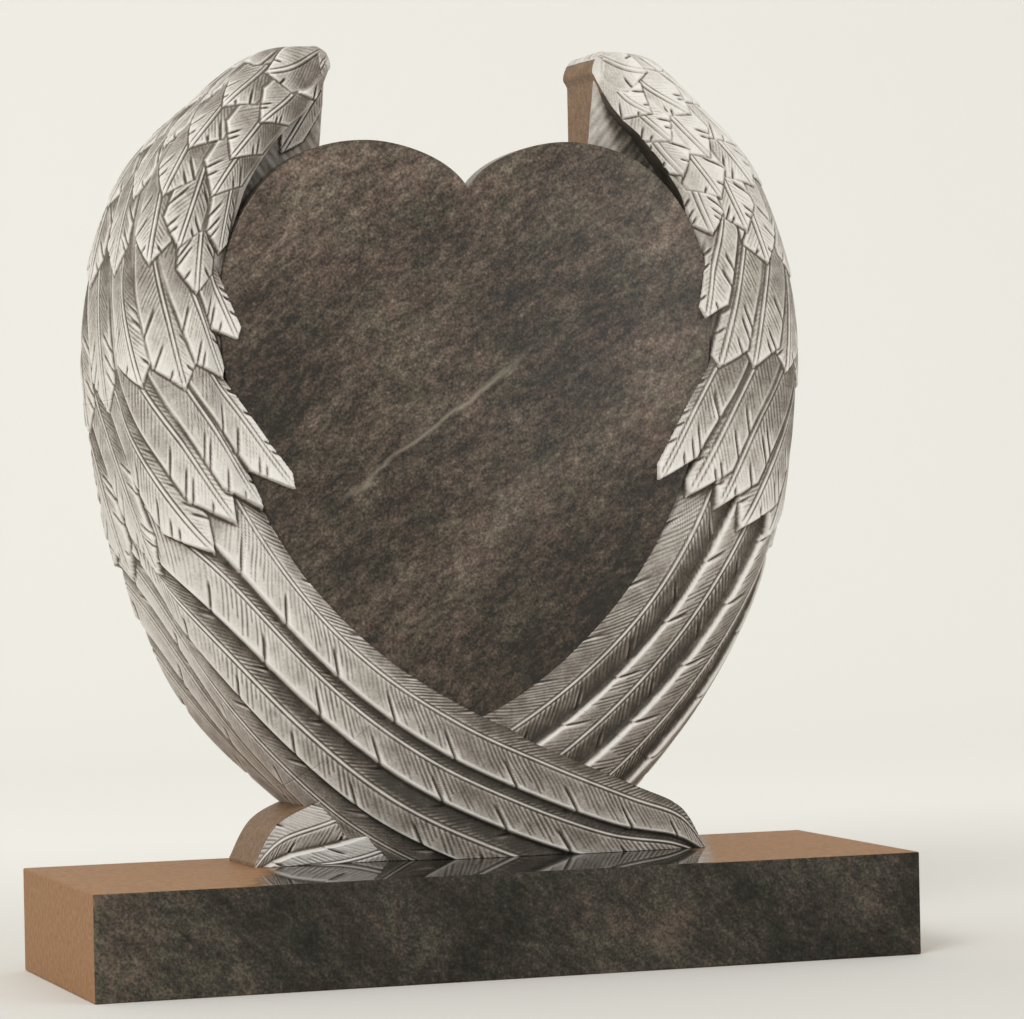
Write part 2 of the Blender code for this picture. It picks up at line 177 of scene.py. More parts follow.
class Wing:
    """One wing's surface: its grid, its carved height and its place in the world."""

    def __init__(self, side, in_front):
        self.side = side
        self.in_front = in_front
        self.lay_out(self.row_places(), self.column_places())
        self.height = np.full_like(self.across, BARE_HEIGHT)
        self.tone = np.zeros_like(self.across)
        self.plain = self.height.copy()
        self.hanging = np.zeros_like(self.across)

    def lay_out(self, rows, columns):
        """Sets the grid's places along and across, and the wing's width at each."""
        self.rows = rows
        self.columns = columns
        whole = np.maximum(rows, 0)
        inner, outer = catmull(WING_RUNGS[:, 0], whole), catmull(WING_RUNGS[:, 1], whole)
        self.width = np.linalg.norm(outer - inner, axis=1) * UNIT
        turn = np.maximum(-rows, 0)[:, None] * math.pi / 2
        middle, rung = (inner + outer) / 2, outer - inner
        ahead = np.stack((-rung[:, 1], rung[:, 0]), axis=1) * UNIT / self.width[:, None]
        cap = ahead * WRIST_CAP * np.sin(turn)
        self.inner = middle + (inner - middle) * np.cos(turn) + cap
        self.outer = middle + (outer - middle) * np.cos(turn) + cap
        travel = np.linalg.norm(np.diff(middle, axis=0), axis=1)
        self.travel = np.concatenate(([0], np.cumsum(travel))) * UNIT
        start = self.overhang(rows)[:, None]
        even = columns[None, :] + 0 * start
        stretched = start + even / ROUND_FROM * (ROUND_FROM - start)
        self.across = np.where(even < ROUND_FROM, stretched, even)
        self.along = rows[:, None] + 0 * self.across

    @staticmethod
    def row_places():
        """Fine places along the wing, evenly spaced in metres."""
        fine = np.linspace(0, WING_END, FINE_STEPS)
        points = catmull(WING_RUNGS.mean(axis=1), fine)
        travel = np.linalg.norm(np.diff(points, axis=0), axis=1)
        run = np.concatenate(([0], np.cumsum(travel))) * UNIT
        count = int(run[-1] / ROW_CELL) * FINER
        cap = np.linspace(WRIST_CAP_FROM, 0, WRIST_CAP_ROWS * FINER, endpoint=False)
        return np.concatenate((cap, np.interp(np.linspace(0, run[-1], count), run, fine)))

    @staticmethod
    def column_places():
        """Fine places across the wing: close on the front, wider down the side."""
        widest = np.linalg.norm(WING_RUNGS[:, 1] - WING_RUNGS[:, 0], axis=1).max() * UNIT
        front_cells = int(ROUND_TO * FRONT_SHARE * widest / FRONT_CELL)
        front = np.linspace(0, ROUND_TO, front_cells * FINER, endpoint=False)
        side = np.linspace(ROUND_TO, ROUND_TO + 1, int(SIDE_SPAN / SIDE_CELL) * FINER)
        return np.concatenate((front, side))

    @staticmethod
    def overhang(along):
        """How far the surface runs on under the heart's edge, or over it where feather tips hang."""
        lean, tips = (smooth(along, *rungs[0]) * (1 - smooth(along, *rungs[1]))
                      for rungs in (UNDER_HEART_RUNGS, TIPS_RUNGS))
        return -(UNDER_HEART * lean + TIPS_OVER_HEART * tips)

    @staticmethod
    def spread_out(across, width):
        """A place across the wing as metres over its surface, from the edge by the heart."""
        return np.minimum(across, ROUND_TO) * width + np.maximum(across - ROUND_TO, 0) * SIDE_SPAN

    def spot(self, along, across):
        """A place on the wing in metres along it and over its surface."""
        travel, width = (np.interp(along, self.rows, field) for field in (self.travel, self.width))
        return float(travel), float(self.spread_out(across, width))

    def clear_round(self, rows, outside, groove):
        """Takes the chisel's strokes away close round an outline, and sinks the stone there."""
        near = np.clip(1 - outside / OUTLINE_REACH, 0, 1)
        marks = (self.height[rows] - self.plain[rows]) * (1 - smooth(near, 0, CLEARED_AT))
        self.height[rows] = self.plain[rows] + marks - groove * near

    def lay_over(self, rows, outside, slope, height, marks, tone):
        """Lays a feather over what is there, with a short slope at its edge."""
        cover = np.clip(0.5 - outside / slope, 0, 1)
        for field, value in ((self.plain, height), (self.height, height + marks), (self.tone, tone)):
            field[rows] += (value - field[rows]) * cover

    def crest(self):
        """The wing's depth before it rounds off to the side."""
        low = FRONT_DEPTH if self.in_front else BEHIND_DEPTH
        crest = blend(self.along, ((0, WRIST_DEPTH), (3, UPPER_DEPTH), (7, UPPER_DEPTH), (9.3, low)))
        dip = blend(self.along, ((7, INNER_DIP), (9, CROSSING_DIP if self.in_front else 0)))
        return crest - dip * (1 - smooth(self.across, *DIP_ACROSS)) * smooth(self.along, *DIP_RUNGS)

    def surface(self):
        """World points of the carved grid, rows by columns."""
        across, width = self.across, self.width[:, None]
        quarter = np.clip((across - ROUND_FROM) / (ROUND_TO - ROUND_FROM), 0, 1) * math.pi / 2
        rounded = ROUND_FROM + (1 - ROUND_FROM) * np.sin(quarter)
        drawn = np.where(across < ROUND_FROM, across, rounded)
        full = WRIST_ROUND + (1 - WRIST_ROUND) * smooth(self.along, *WRIST_RUNGS)
        rounding = SIDE_ROUND * full
        down = np.clip(across - ROUND_TO, 0, 1)
        depth = (self.crest() - rounding * (1 - np.cos(quarter))) * (1 - down)
        under = smooth(-across, *UNDER_HEART_RAMP) * (1 - self.hanging)
        over = smooth(-across, *HANGING_RAMP) * self.hanging
        depth = depth + (HEART_FACE - SUNK_UNDER_HEART - depth) * under
        depth = depth + np.maximum(HEART_FACE - depth, 0) * over
        outward = np.sin(quarter)
        calm = smooth(self.along, *WRIST_CALM)
        lift = self.height * (1 - SIDE_LIFT * outward) * np.where(down < 1, 1, 0) * calm
        lift = lift * np.where((across < 0) & (depth < HEART_FACE), self.hanging, 1)
        wide, narrow = (smooth(self.along, *rungs) for rungs in FLARE_RUNGS)
        flare = SIDE_FLARE * wide * (1 - narrow)
        drawn = drawn + (flare * down - SIDE_INSET * outward + lift * outward) / width
        depth = depth + lift * np.cos(quarter)
        point = self.inner[:, None, :] + (self.outer - self.inner)[:, None, :] * drawn[..., None]
        return place(self.side * point[..., 0], point[..., 1], depth)


def place(x, z, depth):
    """A point of the drawing with its depth in front of the back, in the world."""
    x, z, depth = np.broadcast_arrays(x, z, depth)
    return np.stack((MIDDLE_X + x * UNIT, BACK_Y - depth, SEAT_Z + z * UNIT), axis=-1)


class Feather:
    """A row's look: its feathers' width, outer vane's share, point, lift and tilt, and their strokes."""

    def __init__(self, width, outer, point, lift, tilt, pitch, barbs, splits):
        self.width = width
        self.outer = outer
        self.point = point
        self.lift = lift
        self.tilt = tilt
        self.pitch = pitch
        self.barbs = barbs
        self.splits = splits


CAP = Feather(43 * MM, 0.52, 1.1, 5.0 * MM, 0.8 * MM, 5.4 * MM, 0.5, 1)
COVERT = Feather(42 * MM, 0.52, 1.25, 6.0 * MM, 1.4 * MM, 5.2 * MM, 0.7, 2)
MIDDLE = Feather(42 * MM, 0.55, 1.35, 7.0 * MM, 1.9 * MM, 5.6 * MM, 0.75, 3)
LONG = Feather(44 * MM, 0.58, 1.9, 8.5 * MM, 2.6 * MM, 6.0 * MM, 0.85, 4)

# Rows of feathers from the lowest up, each row from the outer side in, so that each lies on the last:
# tip along, tip across, root along, root across, share of the row's width
FRONT_ROWS = (
    (LONG, (
        (7.15, 2.2, 5.4, 2.6, 1), (7.2, 1.78, 5.3, 2.4, 1), (7.22, 1.04, 5.4, 1.95, 1),
        (7.24, 0.54, 5.4, 1.38, 1), (7.08, 0.29, 5.2, 0.98, 1), (7.08, 0.01, 5.1, 0.66, 1),
        (7.04, -0.28, 5.0, 0.42, 1))),
    (MIDDLE, (
        (5.9, 2.1, 4.1, 2.4, 1), (5.76, 1.46, 4.0, 1.92, 1.1), (5.58, 0.8, 3.8, 1.36, 1.05),
        (5.72, 0.43, 3.9, 0.8, 1.05), (5.72, 0.03, 3.8, 0.6, 1), (5.3, -0.15, 3.8, 0.36, 0.85))),
    (MIDDLE, (
        (4.4, 2.0, 2.9, 2.3, 0.95), (4.3, 1.34, 2.8, 1.85, 1), (4.6, 0.28, 3.0, 0.5, 0.9),
        (4.2, 0.77, 2.7, 1.05, 0.95), (3.98, 0.54, 2.6, 0.62, 0.9), (4.0, 0.08, 2.5, 0.36, 0.8))),
    (COVERT, (
        (3.5, 2.1, 2.3, 2.2, 1), (3.44, 1.4, 2.2, 1.75, 1), (3.4, 0.82, 2.1, 0.98, 1),
        (3.28, 0.36, 2.1, 0.34, 1.15))),
    (COVERT, (
        (2.85, 2.0, 1.7, 2.1, 1), (2.8, 1.3, 1.6, 1.6, 1), (2.78, 0.8, 1.5, 0.86, 1),
        (2.72, 0.36, 1.4, 0.36, 1.2))),
    (COVERT, (
        (2.15, 2.0, 1.0, 2.0, 1), (2.1, 1.42, 0.9, 1.5, 1), (2.12, 0.82, 0.9, 0.84, 1),
        (2.02, 0.34, 0.8, 0.34, 1.1))),
    (CAP, (
        (1.3, 1.9, 0.0, 1.9, 1), (1.25, 1.3, 0.0, 1.3, 1), (1.05, 0.25, -0.3, 0.3, 0.8),
        (1.26, 0.72, -0.5, 0.66, 1.1))),
)
BEHIND_ROWS = (
    (LONG, (
        (7.0, 2.15, 5.4, 2.5, 1), (7.05, 1.7, 5.3, 2.1, 1), (7.1, 1.22, 5.4, 1.65, 1),
        (7.06, 0.82, 5.4, 1.35, 1), (7.12, 0.55, 5.2, 1.12, 1), (7.02, 0.31, 5.0, 0.88, 1),
        (7.0, 0.07, 5.0, 0.6, 1), (6.98, -0.22, 4.9, 0.32, 1))),
    (MIDDLE, (
        (5.6, 2.1, 4.1, 2.3, 1), (5.65, 1.5, 4.0, 1.75, 1), (5.6, 1.06, 3.9, 1.25, 1),
        (5.5, 0.74, 3.8, 1.02, 1), (5.54, 0.4, 3.7, 0.78, 1), (5.62, 0.09, 3.7, 0.5, 0.95),
        (5.02, -0.07, 3.2, 0.4, 0.8))),
    (MIDDLE, (
        (4.3, 2.0, 2.9, 2.1, 1), (4.25, 1.45, 2.9, 1.6, 1), (4.35, 1.0, 2.8, 1.1, 1),
        (4.18, 0.62, 2.8, 0.68, 0.95), (3.74, 0.49, 2.5, 0.53, 0.8), (3.72, 0.13, 2.5, 0.2, 0.75))),
    (COVERT, (
        (3.3, 2.0, 2.2, 2.0, 1), (3.3, 1.45, 2.2, 1.5, 1), (3.26, 1.06, 2.1, 1.1, 1),
        (3.22, 0.76, 2.1, 0.74, 1), (3.26, 0.34, 2.1, 0.3, 1))),
    (COVERT, (
        (2.7, 1.9, 1.6, 1.9, 1), (2.75, 1.35, 1.6, 1.4, 1), (2.68, 0.9, 1.5, 0.86, 1),
        (2.68, 0.46, 1.4, 0.44, 1), (2.78, 0.1, 1.6, 0.12, 0.9))),
    (COVERT, (
        (2.1, 1.9, 1.0, 1.9, 1), (2.0, 1.35, 0.9, 1.35, 1), (2.04, 0.98, 0.9, 0.94, 0.9),
        (2.02, 0.65, 0.8, 0.58, 1), (2.2, 0.2, 1.1, 0.22, 0.85), (1.6, 0.28, 0.3, 0.36, 1))),
    (CAP, (
        (1.3, 1.9, 0.0, 1.9, 1), (1.2, 1.3, 0.0, 1.3, 1), (1.0, 0.7, -0.5, 0.62, 1))),
)

# A short feather's form, in shares of its length or width where no MM is given
ROOT_LIFT = 0.5 * MM
BARE_HEIGHT = -1.5 * MM
ROOT_WIDTH = 0.85
ROOT_WIDENS_TO = 0.4
FEATHER_BOW = 0.035
INNER_POINT = 0.85
POINT_FALL = 0.75
FEATHER_RISE = 1.1
FEATHER_CROWN = 1.2 * MM
GROOVE_ALONG = (0.25, 0.6)
GROOVE_ACROSS_FROM = -0.02
SEEDS_A_ROW = 7
SPLITS_FROM = 0.4
SPLITS_OVER = 0.5
SPLIT_UNEVEN = 0.35
HEART_SIDE = 0.12
HEART_VANE = 9.5 * MM

# Painted shade and light added on a short feather's two vanes, at its tip and at its root: shade on the
# inner vane and at the root, under the row above, light on the outer vane and at the tip
INNER_VANE_SHADE = -0.1
OUTER_VANE_LIGHT = 0.03
TIP_LIGHT = 0.12
TIP_LIT = (0.6, 1)
ROOT_SHADE = 0.2
ROOT_SHADED = (0.35, 0.8)

# Painted light and shade along each wing: how much lighter or darker the stone is at each rung
FRONT_LIGHT_AND_SHADE = (
    (-1, -0.03), (1.5, -0.12), (4, -0.12), (5, 0), (7, 0.01), (8.5, -0.12), (10.5, -0.41), (14, -0.32),
)
BEHIND_LIGHT_AND_SHADE = (
    (-1, 0.2), (2, 0.3), (3.4, 0.14), (4.2, -0.07), (5.5, -0.2), (7, -0.1), (8, -0.22), (10, -0.24),
    (12, 0.2), (14, 0.24),
)

# The inner wall's painted shade along the wing's inner edge, where it drops into a dark recess, the
# wall's carved stretch, and how dark the upper wing may be
WALL_PAINTED_SHADE = 0.1
WALL_CARVED = (0.55, 9.9)
DARKEST_UPPER = 0.15
DARKER_BETWEEN = (6, 9)

# Long feathers: inner edge, shaft and outer edge across the wing where it is drawn together, how far
# they spread before that, and how soon they close
FRONT_PRIMARIES = (
    (-0.09, 0.09, 0.29), (0.25, 0.36, 0.54), (0.50, 0.65, 0.79), (0.75, 0.92, 1.08), (1.04, 1.25, 1.5),
    (1.45, 1.7, 2.1),
)
FRONT_SPREAD = (7.1, 0.9, 0.65)
BEHIND_PRIMARIES = (
    (-0.09, 0.165, 0.33), (0.32, 0.455, 0.60), (0.585, 0.73, 0.87), (0.86, 1.0, 1.14), (1.12, 1.3, 1.5),
    (1.45, 1.7, 2.1),
)
BEHIND_SPREAD = (7.0, 0.38, 1.1)
PRIMARY_ROOT = 6.0
SIDE_PRIMARIES = 3
PRIMARY_LOW_EDGE = -3 * MM
PRIMARY_MIDDLE = 4 * MM
PRIMARY_HIGH_EDGE = 8.5 * MM
PRIMARY_SLOPE = 3.4 * MM
PRIMARY_PITCH = 6.6 * MM
PRIMARY_CROWN = 1.1
PRIMARY_SEED = 31
PRIMARY_SINK = 9 * MM
PRIMARY_RISE = (6.4, 8.3)
# Painted shade on each long feather's low vane, in the shadow of its neighbour, and on those down the
# side; on the right wing a painted highlight along each raised edge
PRIMARY_SHADE = -0.36
FIRST_SHADE = -0.16
SHADED_FROM = 0.3
BEHIND_VANE_SHADE = -0.12
BEHIND_EDGE_LIGHT = 0.4
BEHIND_EDGE = (0.8, 0.95)
SIDE_SHADE = -0.12
SIDE_BARBS = 0.35
PRIMARY_BARBS = 1.25
SPLIT_SPACING = 74 * MM
SPLIT_START = 0.45
SPLIT_STAGGER = 0.37

# The chisel's marks
SHAFT_RIB = 0.9 * MM
SHAFT_HALF = 1.0 * MM
SHAFT_GROOVE = 2.0 * MM
SHAFT_GROOVE_PLACE = 2.1 * MM
SHAFT_GROOVE_HALF = 0.8 * MM
BARB_DEPTH = 1.1 * MM
BARB_SHARPNESS = 2.4
BARB_LEAN = 1.45
BARB_START = 2 * MM
BARB_WANDER = 2.0 * MM
WANDER_ALONG = 23 * MM
WANDER_ACROSS = 9 * MM
BARB_STRENGTH = 0.65
BARB_STRENGTH_UNEVEN = 0.35
BARB_STOP = 0.94
BARB_FADE = 0.12
BARB_UNEVEN = 0.48
SPLIT_DEPTH = 4.4 * MM
SPLIT_HALF = 1.55 * MM
SPLIT_ACROSS = (0.3, 0.6)
OUTLINE_GROOVE = 2.6 * MM
OUTLINE_REACH = 2.2 * MM
CLEARED_AT = 0.5
EDGE_SLOPE = 2.4 * MM
# A painted highlight along the edge of each vane
RIM_LIGHT = 0.14
RIM_LIT = (0.84, 0.97)


def chisel(run, off, reach, pitch, barbs, splits, seed):
    """The marks on a vane: the shaft's rib and its two grooves, the barbs, and a few deep splits."""
    side = np.abs(off)
    edge = side / np.maximum(reach, MM)
    wander = BARB_WANDER * ripple(run / WANDER_ALONG, side / WANDER_ACROSS, seed)
    marks = SHAFT_RIB * np.exp(-(side / SHAFT_HALF) ** 2)
    marks -= SHAFT_GROOVE * np.exp(-((side - SHAFT_GROOVE_PLACE) / SHAFT_GROOVE_HALF) ** 2)
    phase = (run - BARB_LEAN * side + wander) / pitch
    turn = np.round(phase) * 12.9 + 3.1 * seed  # any angle that differs from stroke to stroke
    strength = BARB_STRENGTH + BARB_STRENGTH_UNEVEN * np.sin(turn)
    stop = BARB_STOP - BARB_UNEVEN * (0.5 + 0.5 * np.sin(2.3 * turn)) ** 2
    stroke = (0.5 + 0.5 * np.cos(2 * math.pi * phase)) ** BARB_SHARPNESS
    vane = smooth(side, SHAFT_GROOVE_PLACE, SHAFT_GROOVE_PLACE + BARB_START)
    vane = vane * (1 - smooth(edge, stop - BARB_FADE, stop))
    marks -= BARB_DEPTH * barbs * strength * stroke * vane
    for split in splits:
        near = np.exp(-((run - BARB_LEAN * side - split) / (SPLIT_HALF * BARB_LEAN)) ** 2)
        marks -= SPLIT_DEPTH * near * smooth(edge, *SPLIT_ACROSS)
    return marks


def carve_feather(wing, root, tip, width, look, seed):
    """One short feather, rising from under the row above to its free tip, laid over what is there."""
    (root_v, root_u), (tip_v, tip_u) = wing.spot(*root), wing.spot(*tip)
    length = math.hypot(tip_v - root_v, tip_u - root_u)
    ahead_v, ahead_u = (tip_v - root_v) / length, (tip_u - root_u) / length
    ends = min(root_v, tip_v) - width, max(root_v, tip_v) + width
    rows = slice(*np.searchsorted(wing.travel, ends))
    v = wing.travel[rows][:, None] - root_v
    u = wing.spread_out(wing.across[rows], wing.width[rows][:, None]) - root_u
    run = v * ahead_v + u * ahead_u
    share = np.clip(run / length, 0, 1)
    off = u * ahead_v - v * ahead_u + FEATHER_BOW * length * np.sin(math.pi * share)
    inner_vane = width * (1 - look.outer)
    if tip[1] < HEART_SIDE:
        inner_vane = HEART_VANE
    half = np.where(off > 0, width * look.outer, inner_vane)
    closing = np.where(off > 0, look.point, INNER_POINT * look.point)
    reach = half * (ROOT_WIDTH + (1 - ROOT_WIDTH) * smooth(share, 0, ROOT_WIDENS_TO))
    reach = reach * np.minimum((length - run) / (half * closing), 1)
    outside = np.where(run > 0, (np.abs(off) - reach) * POINT_FALL, 1)
    near = smooth(run / length, *GROOVE_ALONG) * (wing.across[rows] > GROOVE_ACROSS_FROM)
    wing.clear_round(rows, outside, OUTLINE_GROOVE * near)
    edge = off / np.maximum(half, MM)
    height = ROOT_LIFT + (look.lift - ROOT_LIFT) * share ** FEATHER_RISE
    height = height + look.tilt * edge - FEATHER_CROWN * edge ** 2
    splits = []
    for number in range(look.splits):
        uneven = SPLIT_UNEVEN * math.sin(seed * 1.7 + 2 * number)  # any angle, differing each time
        splits.append(length * (SPLITS_FROM + SPLITS_OVER * (number + uneven) / look.splits))
    reach = np.maximum(reach, MM)
    marks = chisel(run, off, reach, look.pitch, look.barbs, splits, seed)
    # Painted shade on the inner vane and at the root, painted highlight on the outer vane, along the edge
    # and at the tip
    tone = np.where(off > 0, OUTER_VANE_LIGHT, INNER_VANE_SHADE) + RIM_LIGHT * smooth(np.abs(off) / reach, *RIM_LIT)
    tone = tone + TIP_LIGHT * smooth(share, *TIP_LIT) - ROOT_SHADE * (1 - smooth(share, *ROOT_SHADED))
    wing.lay_over(rows, outside, EDGE_SLOPE, height, marks, tone)
    wing.hanging[rows] = np.where(outside < 0, float(tip[1] < 0), wing.hanging[rows])


def carve_rows(wing):
    """All rows of short feathers, from the lowest up to the wrist."""
    for row, (look, feathers) in enumerate(FRONT_ROWS if wing.in_front else BEHIND_ROWS):
        for number, (tip_along, tip_across, root_along, root_across, share) in enumerate(feathers):
            root, tip = (root_along, root_across), (tip_along, tip_across)
            carve_feather(wing, root, tip, look.width * share, look, SEEDS_A_ROW * row + number)


def carve_primaries(wing):
    """The long feathers that sweep down to the crossing and on to the wing's tip."""
    primaries = FRONT_PRIMARIES if wing.in_front else BEHIND_PRIMARIES
    start, amount, ease = FRONT_SPREAD if wing.in_front else BEHIND_SPREAD
    low, high = PRIMARY_LOW_EDGE, PRIMARY_HIGH_EDGE
    inner_edge, outer_edge = (low, high) if wing.in_front else (high, low)
    rows = slice(np.searchsorted(wing.rows, PRIMARY_ROOT), len(wing.rows))
    along = wing.rows[rows][:, None]
    spread = 1 + amount * np.exp(-(along - start) / ease)
    sunk = PRIMARY_SINK * (1 - smooth(along, *PRIMARY_RISE))
    width = wing.width[rows][:, None]
    run = (wing.travel[rows] - wing.travel[rows][0])[:, None] + 0 * wing.across[rows]
    order = list(enumerate(primaries))
    for number, (inner, shaft, outer) in order[::-1] if wing.in_front else order:
        places = [wing.spread_out(across * spread, width) for across in (inner, shaft, outer)]
        off = wing.spread_out(wing.across[rows], width) - places[1]
        reach = np.where(off > 0, places[2] - places[1], places[1] - places[0])
        edge = np.clip(np.abs(off) / reach, 0, 1)
        side = np.where(off > 0, outer_edge, inner_edge)
        height = PRIMARY_MIDDLE + (side - PRIMARY_MIDDLE) * edge ** PRIMARY_CROWN
        first_split = SPLIT_SPACING * (SPLIT_START + SPLIT_STAGGER * (number % 3))
        splits = np.arange(first_split, run.max(), SPLIT_SPACING)
        on_side = number >= SIDE_PRIMARIES
        barbs = SIDE_BARBS if on_side else PRIMARY_BARBS
        marks = chisel(run, off, reach, PRIMARY_PITCH, barbs, splits, PRIMARY_SEED + number)
        shade = SIDE_SHADE if on_side else PRIMARY_SHADE
        if wing.in_front and number == 0:
            shade = FIRST_SHADE
        # Painted shade on the low vane, painted highlight along the raised edge
        lit = RIM_LIGHT * smooth(edge, *RIM_LIT)
        if not wing.in_front:
            lit = BEHIND_VANE_SHADE + BEHIND_EDGE_LIGHT * smooth(edge, *BEHIND_EDGE)
        tone = np.where((off < 0) == wing.in_front, shade * smooth(edge, 0, SHADED_FROM), lit)
        wing.clear_round(rows, np.abs(off) - reach, 0)
        wing.lay_over(rows, np.abs(off) - reach, PRIMARY_SLOPE, height - sunk, marks, tone)


def thin_out(wing):
    """Averages the fine cells down to the grid that becomes the mesh."""
    rows, columns = len(wing.rows) // FINER, len(wing.columns) // FINER
    fields = [field.reshape(rows, FINER, columns, FINER).mean(axis=(1, 3))
              for field in (wing.height, wing.tone, wing.hanging)]
    wing.lay_out(wing.rows.reshape(rows, FINER).mean(axis=1),
                 wing.columns.reshape(columns, FINER).mean(axis=1))
    wing.height, wing.tone, wing.hanging = fields


# How the chisel's frost and the painted shade in grooves and hollows follow the carving: their level on a
# plain face, how wide they look around for strokes and for feathers, and how much lighter a point is for
# each metre that it stands out
FROST_AND_SHADE_LEVEL = 0.66
FROST_AND_SHADE_STROKE, FROST_AND_SHADE_FEATHER = 1.7 * MM, 7 * MM
FROST_AND_SHADE_BY_STROKE = 0.26 / (0.5 * MM)
FROST_AND_SHADE_BY_FEATHER = 0.26 / (3.5 * MM)


def frost_and_shade(height, cell):
    """How light the stone is, 0 to 1: lighter on ridges and darker in grooves and hollows, partly the
    chisel's frost and partly painted shade.
    """
    fine = height - soften(height, FROST_AND_SHADE_STROKE / cell)
    broad = height - soften(height, FROST_AND_SHADE_FEATHER / cell)
    return FROST_AND_SHADE_LEVEL + FROST_AND_SHADE_BY_STROKE * fine + FROST_AND_SHADE_BY_FEATHER * broad


def new_object(name, points, faces, flat=None, tones=None):
    """A mesh object from arrays of points and of faces with as many corners each."""
    data = bpy.data.meshes.new(name)
    faces = [tuple(face) for face in faces]
    data.from_pydata(points.tolist(), [], faces)
    data.shade_smooth()
    if flat is not None:
        data.polygons.foreach_set("use_smooth", ~np.asarray(flat))
    if tones is not None:
        layer = data.attributes.new("frost_and_shade", 'FLOAT', 'POINT')
        layer.data.foreach_set("value", np.asarray(tones, np.float32))
    thing = bpy.data.objects.new(name, data)
    bpy.context.scene.collection.objects.link(thing)
    return thing


def grid_faces(rows, columns, closed):
    """Quads between rows of points, each row an open line or a closed ring."""
    cells = columns if closed else columns - 1
    low, here = np.meshgrid(np.arange(rows - 1) * columns, np.arange(cells), indexing='ij')
    high, beside = low + columns, (here + 1) % columns
    return np.stack((low + here, low + beside, high + beside, high + here), axis=-1).reshape(-1, 4)


def wing_piece(wing, name, first, last, materials):
    """One length of a wing as a closed body: carved front, side and inner wall, and a plain back."""
    points = wing.points[first:last]
    back = points[:, :1].copy()
    back[..., 1] = BACK_Y - (0 if wing.in_front else BEHIND_BACK)
    ring = np.concatenate((points, back), axis=1)
    rows, columns = ring.shape[:2]
    faces = grid_faces(rows, columns, True)
    caps = [np.arange(columns)[::-1], (rows - 1) * columns + np.arange(columns)]
    if wing.side < 0:
        faces = faces[:, ::-1]
        caps = [cap[::-1] for cap in caps]
    column = np.tile(np.arange(columns), rows - 1)
    row = np.repeat(wing.rows[first:last - 1], columns)
    bare = (row < WALL_CARVED[0]) | (row > WALL_CARVED[1])
    plain = (column == columns - 2) | ((column == columns - 1) & bare)
    flat = np.concatenate((column >= columns - 2, (True, True)))
    plain = np.concatenate((plain, (first > 0, first > 0)))
    tones = np.concatenate((wing.tone[first:last], np.zeros((rows, 1))), axis=1)
    thing = new_object(name, ring.reshape(-1, 3), list(faces) + caps, flat, tones.ravel())
    for material in materials:
        thing.data.materials.append(material)
    thing.data.polygons.foreach_set("material_index", plain.astype(np.int32))
    if points[..., 2].min() < SEAT_Z:
        cut_at_seat(thing)
    return thing


def cut_at_seat(thing):
    """Cuts off flat what would reach below the stone's seat on the base."""
    mesh = bmesh.new()
    mesh.from_mesh(thing.data)
    whole = mesh.verts[:] + mesh.edges[:] + mesh.faces[:]
    bmesh.ops.bisect_plane(mesh, geom=whole, plane_co=(0, 0, SEAT_Z), plane_no=(0, 0, 1),
                           clear_inner=True)
    rim = [edge for edge in mesh.edges if edge.is_boundary]
    made = bmesh.ops.holes_fill(mesh, edges=rim, sides=0)
    for face in made["faces"]:
        face.smooth = False
        face.material_index = 1
    mesh.to_mesh(thing.data)
    mesh.free()


def build_wing(side, in_front, name, materials):
    """A wing in three lengths."""
    wing = Wing(side, in_front)
    carve_primaries(wing)
    carve_rows(wing)
    # Painted light and shade along the wing, added to the carving's frost and shade; the upper wing is
    # kept from the darkest values
    shade = np.interp(wing.rows, *zip(*(FRONT_LIGHT_AND_SHADE if in_front else BEHIND_LIGHT_AND_SHADE)))[:, None]
    darkest = DARKEST_UPPER * (1 - smooth(wing.rows, *DARKER_BETWEEN))[:, None]
    wing.tone = np.clip(frost_and_shade(wing.height, ROW_CELL / FINER) + wing.tone + shade, darkest, 1)
    thin_out(wing)
    wing.points = wing.surface()
    # Painted shade along the inner edge, where the wall drops into a dark recess
    wing.tone[:, 0] = WALL_PAINTED_SHADE
    cuts = [round(share * (len(wing.rows) - 1)) for share in (0, 1 / 3, 2 / 3, 1)]
    return [wing_piece(wing, name + part, first, last + 1, materials)
            for part, first, last in zip(("_upper", "_middle", "_lower"), cuts, cuts[1:])]


def bezier(points, steps):
    """Points along a cubic curve, without its last one."""
    a, b, c, d = (np.array(point, float) for point in points)
    share = np.linspace(0, 1, steps, endpoint=False)[:, None]
    rest = 1 - share
    return rest ** 3 * a + 3 * rest ** 2 * share * b + 3 * rest * share ** 2 * c + share ** 3 * d


